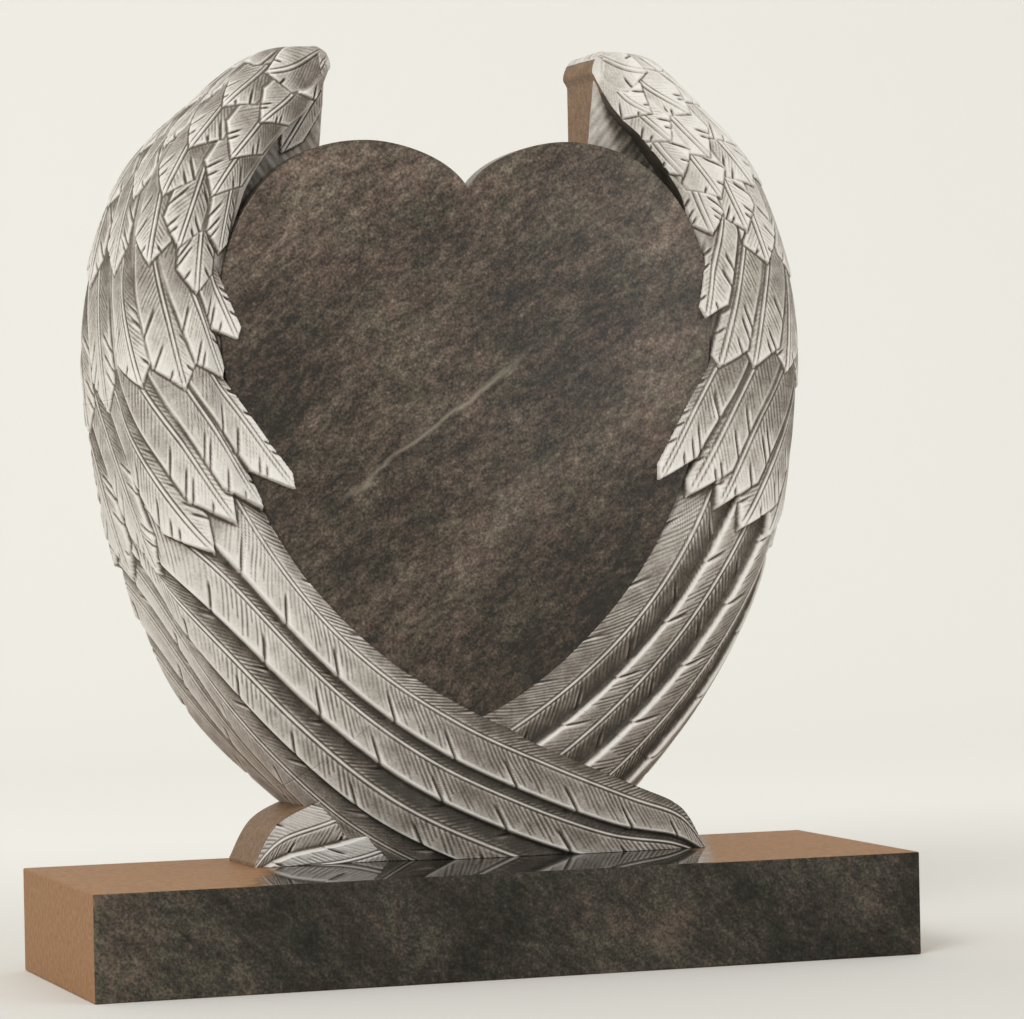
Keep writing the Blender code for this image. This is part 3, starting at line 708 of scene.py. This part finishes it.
def build_heart(polished, tan_reflection):
    """The heart: a flat polished face with a soft arris, its rim, and a back smaller at the lobes."""
    right = np.vstack([bezier(curve, HEART_STEPS) for curve in HEART_CURVES])
    foot = np.array(HEART_CURVES[-1][-1], float)
    outline = np.vstack((right, foot, right[:0:-1] * (-1, 1)))
    count = len(outline)
    arris_share = HEART_ARRIS / (HEART_MIDDLE[1] * UNIT)
    sections = []
    for turn in np.linspace(0, math.pi / 2, ARRIS_STEPS + 1):
        share, drop = 1 - arris_share * (1 - math.sin(turn)), HEART_ARRIS * (1 - math.cos(turn))
        sections.append((share, HEART_FACE - drop))
    inset = 1 - (1 - BACK_INSET) * smooth(outline[:, 1], *FOOT_KEPT)
    sections += [(1.0, HEART_FACE - HEART_RIM), (inset, HEART_BACK)]
    rings = []
    for share, depth in sections:
        drawn = HEART_MIDDLE + (outline - HEART_MIDDLE) * np.reshape(share, (-1, 1))
        rings.append(place(drawn[:, 0], drawn[:, 1], depth))
    points = np.concatenate(rings)
    faces = list(grid_faces(len(rings), count, True))
    caps = [np.arange(count)[::-1], (len(rings) - 1) * count + np.arange(count)]
    flat = np.array([False] * len(faces) + [True, True])
    heart = new_object("heart", points, faces + caps, flat)
    heart.data.materials.append(polished)
    heart.data.materials.append(tan_reflection)
    slots = [0] * ((ARRIS_STEPS + 1) * count) + [1] * count + [0, 1]
    heart.data.polygons.foreach_set("material_index", np.array(slots, np.int32))
    heart.data.set_sharp_from_angle(angle=SHARP_ANGLE)
    return heart


# The web between each wrist and the heart's lobe, in the drawing's units where no MM is given
WEB_RUNGS = 4.6
WEB_UNDER_WING = 14
WEB_WIDTH = 110
WEB_STEPS = 400
WEB_EDGE_X = 175
WEB_LOW_Z = 690
WEB_HIGH_Z = 960
WEB_RISE = 24 * MM
WEB_SLOPE = (870, 965)
WEB_CELL = 1.3 * MM
WEB_EDGE_ROUND = 6 * MM
WEB_ROUGH = 0.5 * MM
WEB_ROUGH_FINE = 0.4 * MM
WEB_FEATHER = ((190, 928), (226, 866))
WEB_FEATHER_WIDTH = 26 * MM
WEB_FEATHER_POINT = 0.35
WEB_FEATHER_FROM = -0.25
WEB_FEATHER_LIFT = (1 * MM, 3 * MM)
WEB_FEATHER_PITCH = 4.6 * MM
WEB_FEATHER_BARBS = 0.6
WEB_FEATHER_SEED = 5
# Painted shade on the webs: even on the left one, and on the right one deepening toward the wing's inner
# edge, a recess in shadow
WEB_SHADE_LEFT = 0.2
WEB_SHADE_RIGHT = 0.55
WEB_SHADED = (0.3, 0.65)
WEB_BACK_TONE = 0.5


def build_web(side, name, materials):
    """The low web of stone; the left one carries one small feather."""
    rows = np.linspace(WEB_LOW_Z, WEB_HIGH_Z, int((WEB_HIGH_Z - WEB_LOW_Z) * UNIT / WEB_CELL))
    inner = catmull(WING_RUNGS[:, 0], np.linspace(0, WEB_RUNGS, WEB_STEPS))
    edge = np.interp(rows, inner[::-1, 1], inner[::-1, 0]) + WEB_UNDER_WING
    share = np.linspace(0, 1, int(WEB_WIDTH * UNIT / WEB_CELL))
    x = WEB_EDGE_X + (edge - WEB_EDGE_X)[:, None] * share
    z = rows[:, None] + 0 * x
    height = WEB_ROUGH * ripple(x / 9, z / 7, 3) + WEB_ROUGH_FINE * ripple(x / 4, z / 5, 8)
    if side < 0:
        (root_x, root_z), (tip_x, tip_z) = WEB_FEATHER
        length = math.hypot(tip_x - root_x, tip_z - root_z)
        ahead = np.array((tip_x - root_x, tip_z - root_z)) / length
        run = ((x - root_x) * ahead[0] + (z - root_z) * ahead[1]) / length
        off = ((x - root_x) * ahead[1] - (z - root_z) * ahead[0]) * UNIT
        reach = WEB_FEATHER_WIDTH / 2 * np.minimum((1 - run) / WEB_FEATHER_POINT, 1)
        inside = (run > WEB_FEATHER_FROM) & (run < 1) & (np.abs(off) < reach)
        strokes = chisel(run * length * UNIT, off, reach, WEB_FEATHER_PITCH, WEB_FEATHER_BARBS, (),
                         WEB_FEATHER_SEED)
        feather = WEB_FEATHER_LIFT[0] + WEB_FEATHER_LIFT[1] * run + strokes
        height = np.where(inside, feather, height)
    rim = np.clip(1 - (x - WEB_EDGE_X) * UNIT / WEB_EDGE_ROUND, 0, 1)
    slope = WEB_RISE * np.clip((z - WEB_SLOPE[0]) / (WEB_SLOPE[1] - WEB_SLOPE[0]), 0, 1)
    depth = WEB_FACE + slope + height - WEB_EDGE_ROUND * (1 - np.sqrt(1 - rim ** 2))
    # Painted shade, deeper toward the right wing's recess
    shade = WEB_SHADE_RIGHT * smooth(share, *WEB_SHADED) if side > 0 else WEB_SHADE_LEFT
    tones = np.clip(frost_and_shade(height, WEB_CELL) - shade, 0, 1)
    points = place(side * x, z, depth)
    back = points[:, (-1, 0)].copy()
    back[..., 1] = BACK_Y - WEB_BACK
    ring = np.concatenate((points, back), axis=1)
    count, columns = ring.shape[:2]
    faces = grid_faces(count, columns, True)
    caps = [np.arange(columns)[::-1], (count - 1) * columns + np.arange(columns)]
    if side > 0:
        faces = faces[:, ::-1]
        caps = [cap[::-1] for cap in caps]
    plain = np.tile(np.arange(columns), count - 1) >= columns - 3
    flat = np.concatenate((plain, (True, True)))
    tones = np.concatenate((tones, np.full((count, 2), WEB_BACK_TONE)), axis=1)
    thing = new_object(name, ring.reshape(-1, 3), list(faces) + caps, flat, tones.ravel())
    for material in materials:
        thing.data.materials.append(material)
    thing.data.polygons.foreach_set("material_index", flat.astype(np.int32))
    return thing


class Looks:
    """A material's node tree, built a node at a time."""

    def __init__(self, name):
        self.material = bpy.data.materials.new(name)
        self.material.use_nodes = True
        self.tree = self.material.node_tree
        self.shader = self.tree.nodes["Principled BSDF"]

    def put(self, socket, value):
        """Links a socket to another one, or sets its plain value."""
        if isinstance(value, bpy.types.NodeSocket):
            self.tree.links.new(value, socket)
        else:
            socket.default_value = value

    def node(self, kind, settings=None, **inputs):
        """A node with its settings and inputs; an input's name has _ for a space."""
        made = self.tree.nodes.new("ShaderNode" + kind)
        for key, value in (settings or {}).items():
            setattr(made, key, value)
        for key, value in inputs.items():
            self.put(made.inputs[key.replace("_", " ")], value)
        return made

    def noise(self, where, scale, detail=3.0, roughness=0.55, distortion=0.0):
        """Noise from 0 to 1 at so many waves a metre."""
        made = self.node("TexNoise", Vector=where, Scale=scale, Detail=detail, Roughness=roughness,
                         Distortion=distortion)
        return made.outputs["Fac"]

    def ramp(self, value, stops):
        """Colours along a value, from (place, colour) stops."""
        made = self.node("ValToRGB", Fac=value)
        points = made.color_ramp.elements
        while len(points) < len(stops):
            points.new(0.5)
        for point, (position, colour) in zip(points, stops):
            point.position = position
            point.color = (*colour, 1)
        return made.outputs["Color"]

    def mix(self, share, first, second, way='MIX'):
        """Two colours mixed."""
        made = self.node("Mix", {"data_type": 'RGBA', "blend_type": way})
        for place_in, value in ((0, share), (6, first), (7, second)):
            self.put(made.inputs[place_in], (*value, 1) if isinstance(value, tuple) else value)
        return made.outputs[2]

    def maths(self, way, first, second=0.0, held=False):
        """One sum on two values."""
        made = self.node("Math", {"operation": way, "use_clamp": held})
        self.put(made.inputs[0], first)
        self.put(made.inputs[1], second)
        return made.outputs[0]

    def plus(self, value, field, share, middle=0.0, held=False):
        """A value with a share of a field's distance from its middle added."""
        if middle:
            field = self.maths('SUBTRACT', field, middle)
        return self.maths('ADD', value, self.maths('MULTIPLY', field, share), held)

    def between(self, value, start, end, low=0.0, high=1.0):
        """A value that goes evenly from low to high while another goes from start to end."""
        made = self.node("MapRange", Value=value)
        for socket, number in zip(("From Min", "From Max", "To Min", "To Max"), (start, end, low, high)):
            made.inputs[socket].default_value = number
        return made.outputs["Result"]

    def where(self, turn=0.0, stretch=(1, 1, 1)):
        """Object coordinates in metres, turned in the stone's plane, then stretched."""
        place_in = self.node("TexCoord").outputs["Object"]
        turned = self.node("Mapping", Vector=place_in, Rotation=(0, turn, 0)).outputs["Vector"]
        return self.node("Mapping", Vector=turned, Scale=stretch).outputs["Vector"]

    def finish(self, colour, roughness, height, strength, distance):
        """Connects the shader."""
        self.put(self.shader.inputs["Base Color"], colour)
        self.put(self.shader.inputs["Roughness"], roughness)
        bump = self.node("Bump", Strength=strength, Distance=distance, Height=height)
        self.put(self.shader.inputs["Normal"], bump.outputs["Normal"])
        return self.material


# Waves a metre of the granite's noises
CRYSTALS, GRAINS, BLOTCHES, DRIFTS = 360, 170, 45, 8
TINT_PATCHES = 28
TAN_PATCHES = 160
SAWN_GRAINS, SAWN_BLOTCHES = 420, 110
FROST_GRAINS, FROST_BLOTCHES = 520, 70
PAPER_GRAINS = 300


def granite_grain(looks, turn, stretch, shares):
    """A value near a half, mottled in grains, in blotches and in slow drifts that lean one way."""
    leaning = looks.where(turn, stretch)
    fields = (looks.noise(looks.where(), CRYSTALS, 2.0, 0.6), looks.noise(leaning, GRAINS, 3.0, 0.6),
              looks.noise(leaning, BLOTCHES, 3.0, 0.55), looks.noise(leaning, DRIFTS, 3.0, 0.5))
    value = 0.5
    for field, share in zip(fields, shares):
        value = looks.plus(value, field, share, 0.5)
    return value, fields


def tinted(looks, colour):
    """A stone's colour with patches that lean to red and to green."""
    patches = looks.noise(looks.where(), TINT_PATCHES, 4.0, 0.6, 0.6)
    tint = looks.ramp(patches, ((0.4, (0.95, 1.0, 0.95)), (0.6, (1.06, 0.985, 0.98))))
    return looks.mix(1.0, colour, tint, 'MULTIPLY')


VEIN_TURN = math.radians(36)
VEIN_PLACE = 0.444
VEIN_WAVER = 0.02
VEIN_HALF = 0.0025
VEIN_MIDDLE = 0.3
VEIN_REACH = (0.07, 0.14)
VEIN_STRENGTH = 1.2
# Painted light on the heart: darker below the low height and lighter above the high one, heights in
# metres
HEART_LOW, HEART_HIGH = 0.3, 0.8
HEART_LOW_PAINTED_SHADE, HEART_HIGH_PAINTED_LIGHT = -0.06, 0.03
HEART_SPECULAR = 0.3


def heart_granite():
    """The heart's polished face: brown and grey grains that lean up to the right, with one pale vein, and
    painted light that makes it darker low down and lighter high up.
    """
    looks = Looks("polished heart")
    value, fields = granite_grain(looks, VEIN_TURN, (0.5, 1, 1), (0.7, 0.65, 0.44, 0.62))
    # Painted light: darker low on the face, lighter high up
    height = looks.node("SeparateXYZ", Vector=looks.where()).outputs["Z"]
    painted_light_rise = looks.between(height, HEART_LOW, HEART_HIGH, HEART_LOW_PAINTED_SHADE, HEART_HIGH_PAINTED_LIGHT)
    value = looks.maths('ADD', value, painted_light_rise)
    colour = looks.ramp(value, (
        (0.3, (0.02, 0.017, 0.013)), (0.42, (0.045, 0.035, 0.026)), (0.54, (0.083, 0.063, 0.047)),
        (0.66, (0.137, 0.105, 0.08)), (0.8, (0.23, 0.187, 0.148))))
    turned = looks.node("SeparateXYZ", Vector=looks.where(VEIN_TURN))
    across = looks.plus(turned.outputs["Z"], fields[2], VEIN_WAVER, 0.5)
    away = looks.maths('ABSOLUTE', looks.maths('SUBTRACT', across, VEIN_PLACE))
    vein = looks.ramp(away, ((0.0, (1, 1, 1)), (VEIN_HALF, (0, 0, 0))))
    from_middle = looks.maths('ABSOLUTE', looks.maths('SUBTRACT', turned.outputs["X"], VEIN_MIDDLE))
    fading = looks.ramp(from_middle, ((VEIN_REACH[0], (1, 1, 1)), (VEIN_REACH[1], (0, 0, 0))))
    strength = looks.maths('MULTIPLY', fields[2], VEIN_STRENGTH)
    vein = looks.maths('MULTIPLY', looks.maths('MULTIPLY', vein, fading), strength)
    colour = tinted(looks, looks.mix(vein, colour, (0.27, 0.235, 0.19)))
    rough = looks.plus(0.24, fields[1], 0.08)
    looks.shader.inputs["Specular IOR Level"].default_value = HEART_SPECULAR
    return looks.finish(colour, rough, fields[0], 0.05, 0.0005)


# Where the base's top is dark and polished: under the wings, between these places along X, with bounds
# that slant as the photograph's line of sight does
POLISHED_FROM, POLISHED_TO = -0.189, 0.262
POLISHED_SLANT = 0.36
POLISHED_SOFT = 0.014
POLISHED_WAVER = 0.03
SPECKLED_FROM, SPECKLED_TO = -0.42, -0.25
SPECKLED_TONE = 0.17
BASE_TURN = math.radians(-40)
BASE_SPECULAR = 0.02
BASE_COAT_ROUGHNESS = 0.03
BASE_COAT_TOP, BASE_COAT_FRONT = 0.68, 0.3


def base_granite():
    """The base: dark and polished in front and under the wings, elsewhere a warm tan that is a painted
    reflection of warm surroundings.
    """
    looks = Looks("polished base")
    value, fields = granite_grain(looks, BASE_TURN, (0.6, 1, 1), (0.55, 0.5, 0.4, 0.55))
    place_in = looks.node("SeparateXYZ", Vector=looks.where())
    speckled = looks.between(place_in.outputs["X"], SPECKLED_FROM, SPECKLED_TO, SPECKLED_TONE, 0.0)
    value = looks.maths('ADD', value, speckled)
    dark = looks.ramp(value, (
        (0.3, (0.012, 0.011, 0.009)), (0.45, (0.026, 0.023, 0.018)), (0.56, (0.045, 0.04, 0.032)),
        (0.7, (0.1, 0.08, 0.06)), (0.85, (0.17, 0.13, 0.1))))
    dark = tinted(looks, dark)
    facing = looks.node("SeparateXYZ", Vector=looks.node("NewGeometry").outputs["Normal"])
    front = looks.maths('GREATER_THAN', looks.maths('MULTIPLY', facing.outputs["Y"], -1.0), 0.5)
    # The warm tan: a painted reflection of warm surroundings, on the ends, the back and the top beyond
    # the dark polished stretch
    warm = looks.ramp(looks.noise(looks.where(), TAN_PATCHES, 4.0, 0.6), (
        (0.3, (0.265, 0.138, 0.064)), (0.5, (0.33, 0.18, 0.09)), (0.7, (0.39, 0.22, 0.118))))
    top = looks.maths('GREATER_THAN', facing.outputs["Z"], 0.5)
    slanting = looks.plus(place_in.outputs["X"], place_in.outputs["Y"], -POLISHED_SLANT)
    wavering = looks.plus(slanting, fields[2], POLISHED_WAVER)
    for edge, soft in ((POLISHED_FROM, POLISHED_SOFT), (POLISHED_TO, -POLISHED_SOFT)):
        top = looks.maths('MULTIPLY', top, looks.between(wavering, edge - soft, edge + soft))
    colour = looks.mix(front, looks.mix(top, warm, dark), dark)
    looks.shader.inputs["Specular IOR Level"].default_value = BASE_SPECULAR
    looks.shader.inputs["Coat Roughness"].default_value = BASE_COAT_ROUGHNESS
    coat = looks.plus(looks.maths('MULTIPLY', top, BASE_COAT_TOP), front, BASE_COAT_FRONT)
    looks.put(looks.shader.inputs["Coat Weight"], coat)
    return looks.finish(colour, 0.45, fields[0], 0.02, 0.0003)


SAWN_SPECULAR = 0.2


def tan_reflection_granite():
    """The stone's plain walls and back: a warm tan that is a painted reflection of warm surroundings."""
    looks = Looks("sawn granite")
    place_in = looks.where()
    grain = looks.noise(place_in, SAWN_GRAINS, 3.0, 0.6)
    blotch = looks.noise(place_in, SAWN_BLOTCHES, 4.0, 0.65)
    value = looks.plus(looks.maths('MULTIPLY', grain, 0.5), blotch, 0.5)
    # Painted reflection: a warm tan, with grain and blotches
    colour = looks.ramp(value, (
        (0.33, (0.11, 0.064, 0.034)), (0.5, (0.215, 0.13, 0.072)), (0.66, (0.33, 0.215, 0.13))))
    looks.shader.inputs["Specular IOR Level"].default_value = SAWN_SPECULAR
    return looks.finish(colour, looks.plus(0.4, blotch, 0.25), grain, 0.25, 0.0008)


def carved_granite():
    """The wings: frosted nearly white where the chisel passed, and dark in the grooves and hollows,
    partly the stone's own dark and partly painted shade.
    """
    looks = Looks("carved granite")
    place_in = looks.where()
    frost_and_shade_share = looks.node("Attribute", {"attribute_name": "frost_and_shade"}).outputs["Fac"]
    grain = looks.noise(place_in, FROST_GRAINS, 2.0, 0.6)
    blotch = looks.noise(place_in, FROST_BLOTCHES, 4.0, 0.6)
    value = looks.plus(frost_and_shade_share, grain, 0.35, 0.5)
    value = looks.plus(value, blotch, 0.45, 0.5, True)
    colour = looks.ramp(value, (
        (0.0, (0.042, 0.034, 0.025)), (0.25, (0.15, 0.127, 0.102)), (0.5, (0.375, 0.34, 0.302)),
        (0.72, (0.6, 0.565, 0.52)), (1.0, (0.75, 0.725, 0.685))))
    return looks.finish(colour, looks.plus(0.6, grain, 0.2), grain, 0.5, 0.0008)


# The backdrop, in metres, and where its painted light goes from grey to pale
FLOOR_FROM, FLOOR_TO = -6.0, 3.0
PAPER_BEND = 2.0
PAPER_BEND_STEPS = 24
PAPER_HIGH = 9.0
PAPER_HALF = 14.0
PAPER_TURNS = (-0.3, 1.6)


def build_stage():
    """A plain pale floor that curves up into the backdrop, painted lighter on the way to even out how the
    lamps light it.
    """
    profile = [(FLOOR_FROM, 0.0), (FLOOR_TO, 0.0)]
    profile += [(FLOOR_TO + PAPER_BEND * math.sin(turn), PAPER_BEND * (1 - math.cos(turn)))
                for turn in np.linspace(0, math.pi / 2, PAPER_BEND_STEPS)[1:]]
    profile.append((FLOOR_TO + PAPER_BEND, PAPER_HIGH))
    points = np.array([(x, y, z) for y, z in profile for x in (-PAPER_HALF, PAPER_HALF)])
    floor = new_object("backdrop", points, grid_faces(len(profile), 2, False))
    looks = Looks("pale studio paper")
    # Painted light: darker on the floor, which the lamps light well, and paler up the backdrop, which
    # they light less
    back = looks.node("SeparateXYZ", Vector=looks.where()).outputs["Y"]
    share = looks.between(back, *PAPER_TURNS)
    tone = looks.ramp(share, ((0.0, (0.7, 0.685, 0.65)), (1.0, (0.94, 0.93, 0.89))))
    grain = looks.noise(looks.where(), PAPER_GRAINS)
    floor.data.materials.append(looks.finish(tone, 0.9, grain, 0.02, 0.001))


# Lamps: place, aim, size and power, and the colour of each
KEY = ((-2.6, -3.0, 3.2), (0, 0, 0.45), 1.8, 95, (1.0, 0.985, 0.96))
FILL = ((3.0, -3.4, 1.4), (0, 0, 0.4), 2.5, 22, (0.97, 0.98, 1.0))
ROOM_COLOUR = (0.93, 0.925, 0.895, 1)
ROOM_STRENGTH = 0.85


def add_light(name, position, aim, size, power, colour):
    """A soft square lamp aimed at a point."""
    lamp = bpy.data.lights.new(name, 'AREA')
    lamp.size = size
    lamp.energy = power
    lamp.color = colour
    thing = bpy.data.objects.new(name, lamp)
    bpy.context.scene.collection.objects.link(thing)
    thing.location = position
    thing.rotation_mode = 'QUATERNION'
    thing.rotation_quaternion = (Vector(aim) - Vector(position)).to_track_quat('-Z', 'Y')


def light_scene():
    """Soft light from the upper left in front, a gentle fill, and a pale room."""
    add_light("key", *KEY)
    add_light("fill", *FILL)
    world = bpy.data.worlds.new("pale room")
    world.use_nodes = True
    background = world.node_tree.nodes["Background"]
    background.inputs["Color"].default_value = ROOM_COLOUR
    background.inputs["Strength"].default_value = ROOM_STRENGTH
    bpy.context.scene.world = world
    bpy.context.scene.view_settings.view_transform = 'Standard'


# The camera, as fitted to the photograph
CAMERA_PLACE = (-1.2513, -3.7744, 0.4586)
CAMERA_YAW = math.radians(19.037)
CAMERA_PITCH = math.radians(-0.132)
CAMERA_ROLL = math.radians(-1.133)
CAMERA_FOCAL_PIXELS = 4000
IMAGE_WIDTH = 1024
SENSOR = 36


def build_camera():
    """The camera at the photograph's viewing angle."""
    lens = bpy.data.cameras.new("camera")
    lens.sensor_width = SENSOR
    lens.lens = CAMERA_FOCAL_PIXELS / IMAGE_WIDTH * SENSOR
    camera = bpy.data.objects.new("camera", lens)
    bpy.context.scene.collection.objects.link(camera)
    level_share = math.cos(CAMERA_PITCH)
    ahead = Vector((math.sin(CAMERA_YAW) * level_share, math.cos(CAMERA_YAW) * level_share,
                    math.sin(CAMERA_PITCH)))
    level = Vector((math.cos(CAMERA_YAW), -math.sin(CAMERA_YAW), 0))
    upright = level.cross(ahead)
    right = math.cos(CAMERA_ROLL) * level + math.sin(CAMERA_ROLL) * upright
    up = math.cos(CAMERA_ROLL) * upright - math.sin(CAMERA_ROLL) * level
    turn = Matrix((right, up, -ahead)).transposed().to_4x4()
    camera.matrix_world = Matrix.Translation(CAMERA_PLACE) @ turn
    bpy.context.scene.camera = camera


def main():
    """Builds every piece and sets it in the frame."""
    carved, tan_reflection = carved_granite(), tan_reflection_granite()
    pieces = build_wing(-1, True, "left_wing", (carved, tan_reflection))
    pieces += build_wing(1, False, "right_wing", (carved, tan_reflection))
    pieces += [build_web(-1, "left_web", (carved, tan_reflection)), build_web(1, "right_web", (carved, tan_reflection))]
    heart = build_heart(heart_granite(), tan_reflection)
    for piece in pieces + [heart]:
        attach(piece, "root")
        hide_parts("headstone")
    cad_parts["base"].material_slots[0].material = base_granite()
    build_stage()
    light_scene()
    build_camera()


main()
